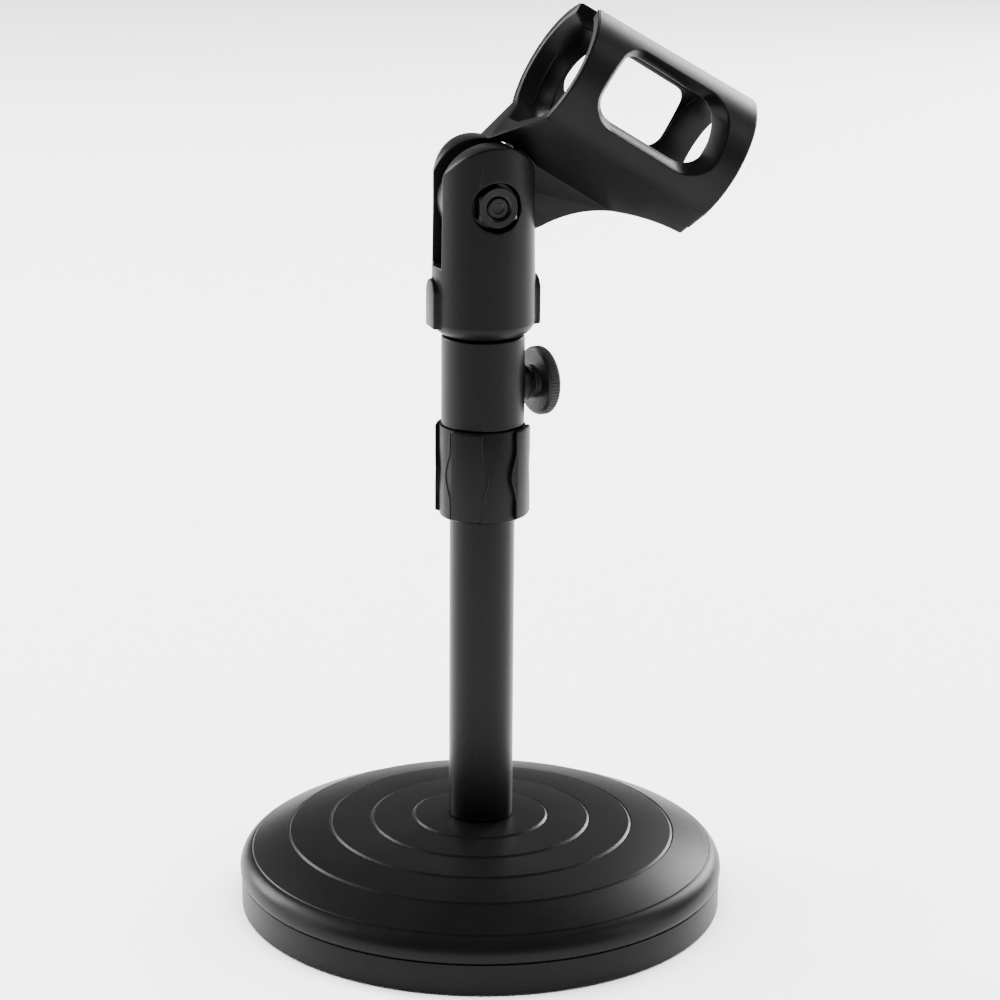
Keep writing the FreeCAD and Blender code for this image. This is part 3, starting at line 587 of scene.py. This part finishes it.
def sweep_bead(name: str, points: Sequence[Vector], radius: float, slot: Slot) -> bpy.types.Object:
    """Sweep a fine round bead along points in millimetres.

    Args:
        name: the piece's name.
        points: the bead's middle line.
        radius: the bead's radius in millimetres.
        slot: its material slot.

    Returns:
        The bead as a mesh object.
    """
    curve = bpy.data.curves.new(name, "CURVE")
    curve.dimensions = "3D"
    spline = curve.splines.new("POLY")
    spline.points.add(len(points) - 1)
    for point, place in zip(spline.points, points):
        point.co = (*(place * MM), 1.0)
    piece = new_piece(name, curve)
    tree = bead_tree(name + "_sweep", PAINT.material(slot))
    return run_tree(piece, tree, {"Radius": radius * MM})


# Sub-assemblies

@dataclass
class WeightedBase:
    """The moulded cover with its stepped dome, and the rubber foot under it. Sizes in millimetres."""

    widest: float = 65.0
    rim_foot: tuple[float, float] = (64.6, 0.3)
    rim_top: tuple[float, float] = (64.6, 8.6)
    crease: float = 0.5
    dome_edge: tuple[float, float] = (61.7, 15.3)
    shoulder_round: float = 5.2
    step_drop: float = 0.35
    step_groove: float = 0.18
    steps: tuple[tuple[float, float], ...] = ((51.6, 19.6), (40.35, 21.9), (29.1, 22.9), (17.85, 23.7))
    dome_top: float = 24.4
    hole: float = 5.3
    wall: float = 2.4
    foot_radius: float = 60.1
    foot_thickness: float = 2.0
    foot_hub: tuple[float, float] = (20.0, 0.5)
    foot_field: tuple[float, float] = (58.0, 0.9)
    hub_step: float = 0.6
    band_step: float = 0.5
    stud_radius: float = 2.6
    stud_bottom: float = 0.05
    stud_top: float = 1.0
    foot_studs: tuple[tuple[int, float], ...] = ((18, 26.0), (30, 40.0), (42, 54.0))

    def cover_outline(self) -> Path:
        """Draw the cover's closed outline: rim, crease, rolled shoulder, steps, and the wall inside.

        Returns:
            Points across and up, in millimetres, with a rounding where a corner has one.
        """
        low, drop = self.crease, self.step_drop
        shoulder = (self.widest - low / 2, self.rim_top[1] + low)
        outside = round_corners([
            (self.rim_foot[0] - self.wall + 0.6, self.rim_foot[1]), (*self.rim_foot, 0.35),
            (*self.rim_top, 0.3), (self.rim_top[0] - low, self.rim_top[1]), (*shoulder, 0.12),
            (self.dome_edge[0], self.dome_edge[1] + 6)], 4)[:-1]
        outside += arc_points(shoulder, self.dome_edge, self.shoulder_round)
        crown: list[tuple[float, ...]] = [(*self.dome_edge, 0.12),
                                          (self.dome_edge[0] - drop, self.dome_edge[1] + drop, 0.15)]
        for across, up in self.steps:
            crown += [(across + 0.55, up, 0.1), (across + 0.2, up - self.step_groove, 0.12),
                      (across - drop, up + drop, 0.12)]
        crown += [(self.hole, self.dome_top, 0.2), (self.hole, self.dome_top - self.wall)]
        inside = [(17.0, self.dome_top - self.wall), (self.steps[2][0], self.steps[2][1] - self.wall),
                  (self.steps[0][0], self.steps[0][1] - self.wall), (62.2, self.rim_top[1])]
        return outside + round_corners(crown, 4) + inside

    def build(self) -> None:
        """Make the cover and the studded foot."""
        cover = lathe("cover_shell", self.cover_outline(), 256)
        settle(cover, Body.STAND, Slot.BASE, ["base_cover"])
        self.build_foot()

    def build_foot(self) -> None:
        """The rubber disc with a raised edge band and rings of small round studs under it."""
        edge, top = self.foot_radius, self.foot_thickness
        hub, hub_rise = self.foot_hub
        field_edge, field_rise = self.foot_field
        outline = round_corners([
            (0.0, hub_rise), (hub, hub_rise), (hub + self.hub_step, field_rise, 0.1),
            (field_edge, field_rise, 0.1), (field_edge + self.band_step, 0.0, 0.3), (edge, 0.0, 0.4),
            (edge, top, 0.3), (0.0, top)], 4)
        disc = lathe("foot_disc", outline, 192)
        settle(disc, Body.STAND, Slot.FOOT, ["base_foot_pad"])
        for ring, (count, radius) in enumerate(self.foot_studs, start=1):
            stud = lathe(f"foot_studs_{ring}", round_corners(
                [(0.0, self.stud_bottom), (self.stud_radius - 0.4, self.stud_bottom, 0.4),
                 (self.stud_radius, self.stud_top), (0.0, self.stud_top)], 3), 20)
            tree = round_array_tree(f"foot_stud_ring_{ring}", PAINT.material(Slot.FOOT))
            studs = run_tree(stud, tree, {"Count": count, "Radius": radius * MM, "Start": 0.1 * ring})
            settle(studs, Body.STAND, Slot.FOOT)


@dataclass
class Mast:
    """Lower tube, clutch sleeve and sliding post. Sizes in millimetres."""

    tube_radius: float = 8.55
    tube_bore: float = 7.35
    foot: float = 24.4
    top: float = 131.0
    edge: float = 0.35
    sleeve_wall: tuple[float, float] = (10.6, 11.8)
    post_radius: float = 7.0
    post_bore: float = 5.8
    post_edge: float = 0.3

    def build(self) -> None:
        """Make the tube, the sleeve and the post with eased edges."""
        tube = lathe("lower_tube_drawn", round_corners([
            (self.tube_bore, self.foot), (self.tube_radius, self.foot, self.edge),
            (self.tube_radius, self.top, self.edge), (self.tube_bore, self.top)], 4), 128)
        settle(tube, Body.STAND, Slot.TUBE, ["lower_tube"])
        sleeve = eased_copy("clutch_body", "clutch_sleeve", self.edge)
        true_round(sleeve, Matrix(), self.sleeve_wall)
        settle(sleeve, Body.STAND, Slot.SLEEVE, ["clutch_body"])
        low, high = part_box("inner_tube")
        post = lathe("post_tube", round_corners([
            (self.post_bore, low.z / MM), (self.post_radius, low.z / MM, self.post_edge),
            (self.post_radius, high.z / MM, self.post_edge), (self.post_bore, high.z / MM)], 4), 96)
        settle(post, Body.POST, Slot.ZINC, ["inner_tube"])


@dataclass
class TwistCollar:
    """The twist collar with its four raised grip petals. Sizes in millimetres."""

    edge: float = 0.3
    radius: float = 12.2
    bead: float = 0.2
    turn: float = 6.4
    recesses: int = 4
    recess: float = 4.9
    waist: float = 3.3
    straight: float = 4.2
    lip_above_foot: float = 1.0
    lip_below_head: float = 0.4
    lip_steps: int = 32

    def edge_line(self, low: float, high: float, sign: int) -> list[Vector]:
        """Points up one wavy side of a recess, pinched in at half height.

        Args:
            low: height of the first point.
            high: height of the last point.
            sign: -1 for the recess's left side, 1 for its right, seen from outside.

        Returns:
            The points, in millimetres, for the recess that faces along X.
        """
        points = []
        for step in range(self.lip_steps + 1):
            up = low + (high - low) * step / self.lip_steps
            reach = (high - low) / 2 - self.straight
            share = min(1.0, abs(up - (low + high) / 2) / reach)
            side = self.waist + (self.recess - self.waist) * (1 - math.cos(math.pi * share)) / 2
            points.append(Vector((math.sqrt(self.radius ** 2 - side ** 2), sign * side, up)))
        return points

    def build(self) -> None:
        """Make the collar with eased petal edges, and the fine lip along each wavy side."""
        collar = eased_copy("twist_collar", "grip_collar", self.edge, 24.0)
        settle(collar, Body.COLLAR, Slot.COLLAR, ["twist_collar"])
        low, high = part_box("twist_collar")
        foot, head = low.z / MM + self.lip_above_foot, high.z / MM - self.lip_below_head
        for sign, side in ((-1, "left"), (1, "right")):
            line = self.edge_line(foot, head, sign)
            lip = sweep_bead(f"petal_lip_{side}", line, self.bead, Slot.COLLAR)
            tree = round_array_tree(f"petal_lips_{side}", PAINT.material(Slot.COLLAR))
            lips = run_tree(lip, tree, {"Count": self.recesses, "Radius": 0.0,
                                        "Start": math.radians(self.turn)})
            settle(lips, Body.COLLAR, Slot.COLLAR)


@dataclass
class ThumbScrew:
    """The screw's flat round knob with a finely ribbed rim. Sizes in millimetres."""

    turn: float = 12.0
    height: float = 142.3
    reach: float = 15.0
    radius: float = 8.9
    thickness: float = 3.6
    hub_radius: float = 4.4
    hub_length: float = 1.6
    bore: float = 2.45
    bevel: float = 0.6
    dish: float = 0.3
    ribs: int = 64
    rib_radius: float = 0.24
    rib_sink: float = 0.08
    seat_gap: float = 0.02

    def placing(self) -> Matrix:
        """Turn the knob's own Z axis outwards along the screw and stand it at the screw's height.

        Returns:
            The matrix from the knob's own frame, in metres, to the stand's.
        """
        out = Matrix.Rotation(math.radians(self.turn), 4, "Z") @ Matrix.Rotation(math.pi / 2, 4, "Y")
        return Matrix.Translation((0, 0, self.height * MM)) @ out

    def build(self) -> None:
        """Make the knob and the ribs round its rim."""
        near, far = self.reach, self.reach + self.thickness
        hub_end = near - self.hub_length + self.seat_gap
        outline = round_corners([
            (0.0, near + 0.6), (self.bore, near + 0.6), (self.bore, hub_end),
            (self.hub_radius, hub_end, 0.3), (self.hub_radius, near, 0.4),
            (self.radius - self.bevel, near, 0.3), (self.radius, near + self.bevel, 0.3),
            (self.radius, far - self.bevel, 0.5), (self.radius - self.bevel, far, 0.5),
            (self.radius - 2.0, far, 0.3), (self.radius - 2.6, far - self.dish, 0.3),
            (0.0, far - self.dish)], 5)
        knob = lathe("screw_knob", outline, 128, self.placing())
        settle(knob, Body.SCREW, Slot.KNOB, ["thumb_screw_knob"])
        rib = lathe("screw_knob_ribs", round_corners([
            (0.0, near + self.bevel + 0.15), (self.rib_radius, near + self.bevel + 0.3, 0.1),
            (self.rib_radius, far - self.bevel - 0.3, 0.1), (0.0, far - self.bevel - 0.15)], 3), 10)
        tree = round_array_tree("knob_rib_ring", PAINT.material(Slot.KNOB))
        ribs = run_tree(rib, tree, {"Count": self.ribs, "Radius": (self.radius - self.rib_sink) * MM})
        ribs.data.transform(self.placing())
        settle(ribs, Body.SCREW, Slot.KNOB)


@dataclass
class ClipBase:
    """The fork that the clip tilts in, with its pivot bolt and nut. Sizes in millimetres."""

    pivot: float = 191.5
    edge: float = 0.55
    wall: tuple[float, float] = (12.8, 13.6)
    flats: float = 10.0
    seat: float = 9.0
    nut_height: float = 4.0
    bolt_radius: float = 3.0
    bolt_end: float = 13.0
    thread_pitch: float = 1.0
    hexagon_steps: int = 48

    def side(self, sign: int) -> Matrix:
        """Turn a part's Z axis along the pivot.

        Args:
            sign: -1 for the front of the stand and 1 for its back.

        Returns:
            The matrix from the part's own frame, in metres, to the stand's.
        """
        return (Matrix.Translation((0, 0, self.pivot * MM))
                @ Matrix.Rotation(-sign * math.pi / 2, 4, "X"))

    def hexagon(self, name: str, sign: int, hole: float) -> bpy.types.Object:
        """A chamfered hexagon on the pivot, with a hole or a shallow dish in its face.

        Args:
            name: the piece's name.
            sign: -1 for the front ear, 1 for the back one.
            hole: radius of the hole, or nought for a solid head.

        Returns:
            The finished hexagon.
        """
        corner = self.flats / math.sqrt(3)
        low, high = self.seat, self.seat + self.nut_height
        dish = 0.35 if hole else 0.3
        rings = [(hole, low), (corner - 0.5, low), (corner, low + 0.35), (corner, high - 0.55),
                 (corner - 0.7, high), (max(hole, 3.2) + 0.35, high), (hole, high - dish)]
        mesh = bmesh.new()
        loops = []
        for index in range(self.hexagon_steps):
            turn = 2 * math.pi * index / self.hexagon_steps
            spoke = self.flats / 2 / math.cos((turn + math.pi / 6) % (math.pi / 3) - math.pi / 6)
            loops.append([mesh.verts.new((min(r, spoke) * MM * math.cos(turn),
                                          min(r, spoke) * MM * math.sin(turn), z * MM)) for r, z in rings])
        for index, loop in enumerate(loops):
            following = loops[(index + 1) % len(loops)]
            for place in range(len(rings)):
                after = (place + 1) % len(rings)
                mesh.faces.new((loop[place], following[place], following[after], loop[after]))
        bmesh.ops.remove_doubles(mesh, verts=mesh.verts, dist=SEAM)
        bmesh.ops.dissolve_degenerate(mesh, edges=mesh.edges, dist=SEAM)
        bmesh.ops.recalc_face_normals(mesh, faces=mesh.faces)
        data = bpy.data.meshes.new(name)
        mesh.to_mesh(data)
        mesh.free()
        data.transform(self.side(sign))
        piece = new_piece(name, data)
        soften(piece, 20.0)
        return piece

    def bolt_outline(self) -> Path:
        """Draw the bolt's outline with thread turns at its nut end and a chamfered tip.

        Returns:
            Points across and along the bolt, in millimetres.
        """
        crest, root = self.bolt_radius, self.bolt_radius - 0.3
        points: Path = [(0.0, -self.seat - 0.2), (crest, -self.seat - 0.2), (crest, 7.0)]
        up = 7.2
        while up < self.bolt_end - 1.0:
            points += [(root, up + 0.25), (crest, up + 0.5), (crest, up + 0.62)]
            up += self.thread_pitch
        points += [(crest, self.bolt_end - 0.6), (crest - 0.6, self.bolt_end), (1.5, self.bolt_end),
                   (1.2, self.bolt_end - 0.25), (0.0, self.bolt_end - 0.3)]
        return points

    def build(self) -> None:
        """Make the fork, the nut, the bolt's head and its threaded end."""
        fork = eased_copy("clip_base", "fork_shell", self.edge, 38.0)
        true_round(fork, Matrix(), self.wall)
        settle(fork, Body.SWIVEL, Slot.FORK, ["clip_base"])
        nut = self.hexagon("pivot_nut_hex", -1, self.bolt_radius)
        settle(nut, Body.SWIVEL, Slot.BLACK_ZINC, ["pivot_nut"])
        head = self.hexagon("pivot_bolt_head", 1, 0.0)
        settle(head, Body.SWIVEL, Slot.BLACK_ZINC)
        shank = lathe("pivot_bolt_shank", self.bolt_outline(), 48, self.side(-1))
        settle(shank, Body.SWIVEL, Slot.BLACK_ZINC, ["pivot_bolt"])


@dataclass
class SpringClip:
    """The open ring that holds the microphone. Sizes in millimetres, in the clip's own leaning frame."""

    lean: float = 31.4
    pivot: float = 191.5
    rear: float = -1.5
    front: float = 48.4
    rise: float = 37.9
    radius: float = 19.3
    flare: float = 1.0
    flank_start: float = 0.643
    crease: float = 13.9
    tongue: float = 7.4
    edge: float = 0.35
    bead: float = 0.3
    mouth: float = 13.4
    mouth_gap: float = 0.5
    bead_inset: float = 0.12
    rear_bead_drop: float = 0.45
    front_bead_drop: float = 0.5
    rear_bead_foot: float = 25.6
    front_bead_foot: float = 20.5
    ring_steps: int = 40
    flank_steps: int = 12

    def placing(self) -> Matrix:
        """Lean the clip's own frame and lift it to the pivot.

        Returns:
            The matrix from the clip's leaning frame, in metres, to the stand's.
        """
        return (Matrix.Translation((0, 0, self.pivot * MM))
                @ Matrix.Rotation(math.radians(self.lean), 4, "Y"))

    def rim_line(self, reach: float, radius: float, foot: float, sign: int) -> list[Vector]:
        """Points of one arm's rim, from the mouth down the ring and the flank.

        Args:
            reach: how far along the clip the rim is.
            radius: the rim line's own radius.
            foot: height at which the flank's line ends.
            sign: 1 for one arm, -1 for the other.

        Returns:
            The points, in millimetres.
        """
        first = math.asin((self.mouth / 2 + self.mouth_gap) / radius)
        last = math.pi / 2 + math.asin(self.flank_start)
        points = []
        for step in range(self.ring_steps + 1):
            turn = first + (last - first) * step / self.ring_steps
            across, up = radius * math.sin(turn), radius * math.cos(turn)
            points.append(Vector((reach, sign * across, self.rise + up)))
        top, low = points[-1], Vector((reach, sign * self.tongue / 2, self.crease))
        share = (top.z - foot) / (top.z - low.z)
        steps = self.flank_steps
        points += [top.lerp(low, share * step / steps) for step in range(1, steps + 1)]
        return points

    def build(self) -> None:
        """Make the clip and the fine beads along its rims."""
        clip = eased_copy("clip_holder", "clip_shell", self.edge, 32.0)
        ring = (self.placing() @ Matrix.Translation((0, 0, self.rise * MM))
                @ Matrix.Rotation(math.pi / 2, 4, "Y"))
        true_round(clip, ring, (self.radius - 0.2, self.radius + self.flare + 0.2))
        settle(clip, Body.CLIP, Slot.CLIP, ["clip_holder"])
        for sign, arm in ((-1, "front_arm"), (1, "back_arm")):
            lines = {
                f"rear_bead_{arm}": self.rim_line(
                    self.rear + self.bead_inset, self.radius - self.rear_bead_drop,
                    self.rear_bead_foot, sign),
                f"front_bead_{arm}": self.rim_line(
                    self.front - self.bead_inset, self.radius + self.flare - self.front_bead_drop,
                    self.front_bead_foot, sign),
            }
            for name, points in lines.items():
                bead = sweep_bead(name, points, self.bead, Slot.CLIP)
                bead.data.transform(self.placing())
                settle(bead, Body.CLIP, Slot.CLIP)


@dataclass(frozen=True)
class SoftBox:
    """One soft rectangular light.

    Attributes:
        name: the light's name.
        place: where it stands, in metres.
        size: its width and height, in metres.
        power: its power in watts.
        shiny: whether glossy surfaces mirror it.
    """

    name: str
    place: tuple[float, float, float]
    size: tuple[float, float]
    power: float
    shiny: bool = True


@dataclass
class Studio:
    """Pale floor, soft lights and the camera. Sizes in metres and degrees."""

    azimuth: float = 16.8
    pitch: float = 15.89
    roll: float = 0.31
    distance: float = 0.7626
    height: float = 0.3289
    lens: float = 108.8
    shift: float = 0.0178
    floor_colour: str = "#f6f6f6"
    floor_half: float = 6.0
    sky_strength: float = 0.5
    aim_height: float = 0.1
    boxes: tuple[SoftBox, ...] = (
        SoftBox("left_box", (-1.1, 0.3, 0.5), (0.4, 1.0), 9.0),
        SoftBox("right_box", (1.0, -0.5, 0.5), (0.35, 1.0), 7.5),
        SoftBox("back_left_box", (-1.3, 1.5, 0.8), (0.7, 1.0), 75.0),
        SoftBox("back_right_box", (1.6, 1.2, 0.8), (0.7, 1.0), 80.0),
        SoftBox("overhead_box", (0.1, 0.15, 2.5), (3.6, 1.8), 330.0, shiny=False))

    def build(self) -> None:
        """Make the floor, the lights and the camera."""
        self.build_floor()
        self.build_lights()
        self.build_camera()

    def build_floor(self) -> None:
        """A wide plain floor."""
        mesh = bpy.data.meshes.new("floor")
        half = self.floor_half
        mesh.from_pydata([(-half, -half, 0), (half, -half, 0), (half, half, 0), (-half, half, 0)], [],
                         [(0, 1, 2, 3)])
        floor = new_piece("floor", mesh)
        material = bpy.data.materials.new("paper_matt_white")
        material.use_nodes = True
        shader = material.node_tree.nodes["Principled BSDF"]
        shader.inputs["Base Color"].default_value = linear(self.floor_colour)
        shader.inputs["Roughness"].default_value = 0.9
        mesh.materials.append(material)

    def add_light(self, box: SoftBox) -> None:
        """Add a soft box and turn it to the middle of the stand.

        Args:
            box: the light to add.
        """
        lamp = bpy.data.lights.new(box.name, "AREA")
        lamp.shape = "RECTANGLE"
        lamp.size, lamp.size_y = box.size
        lamp.energy = box.power
        piece = bpy.data.objects.new(box.name, lamp)
        piece.location = box.place
        piece.visible_glossy = box.shiny
        aim = Vector((0, 0, self.aim_height)) - Vector(box.place)
        piece.rotation_euler = aim.to_track_quat("-Z", "Y").to_euler()
        bpy.context.scene.collection.objects.link(piece)

    def build_lights(self) -> None:
        """Side boxes for the bright bands, two behind for the dome, one above for the floor, and a sky."""
        for box in self.boxes:
            self.add_light(box)
        world = bpy.data.worlds.new("pale_sky")
        world.use_nodes = True
        sky = world.node_tree.nodes["Background"]
        sky.inputs["Color"].default_value = linear("#ffffff")
        sky.inputs["Strength"].default_value = self.sky_strength
        bpy.context.scene.world = world

    def build_camera(self) -> None:
        """A long lens a little above the clip, looking slightly down."""
        lens = bpy.data.cameras.new("camera")
        lens.lens = self.lens
        lens.shift_x = self.shift
        camera = bpy.data.objects.new("camera", lens)
        turn = math.radians(self.azimuth)
        place = Vector((-self.distance * math.sin(turn), -self.distance * math.cos(turn), self.height))
        camera.matrix_world = (Matrix.Translation(place) @ Matrix.Rotation(-turn, 4, "Z")
                               @ Matrix.Rotation(math.radians(90 - self.pitch), 4, "X")
                               @ Matrix.Rotation(math.radians(self.roll), 4, "Z"))
        bpy.context.scene.collection.objects.link(camera)
        bpy.context.scene.camera = camera


def main() -> None:
    """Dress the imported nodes, build each sub-assembly in order, then the studio."""
    logging.basicConfig(level=logging.INFO, format="%(message)s")
    PAINT.dress_nodes()
    for part in (WeightedBase(), Mast(), TwistCollar(), ThumbScrew(), ClipBase(), SpringClip(), Studio()):
        part.build()
        log.info("built %s", type(part).__name__)


if __name__ == "__main__":
    main()
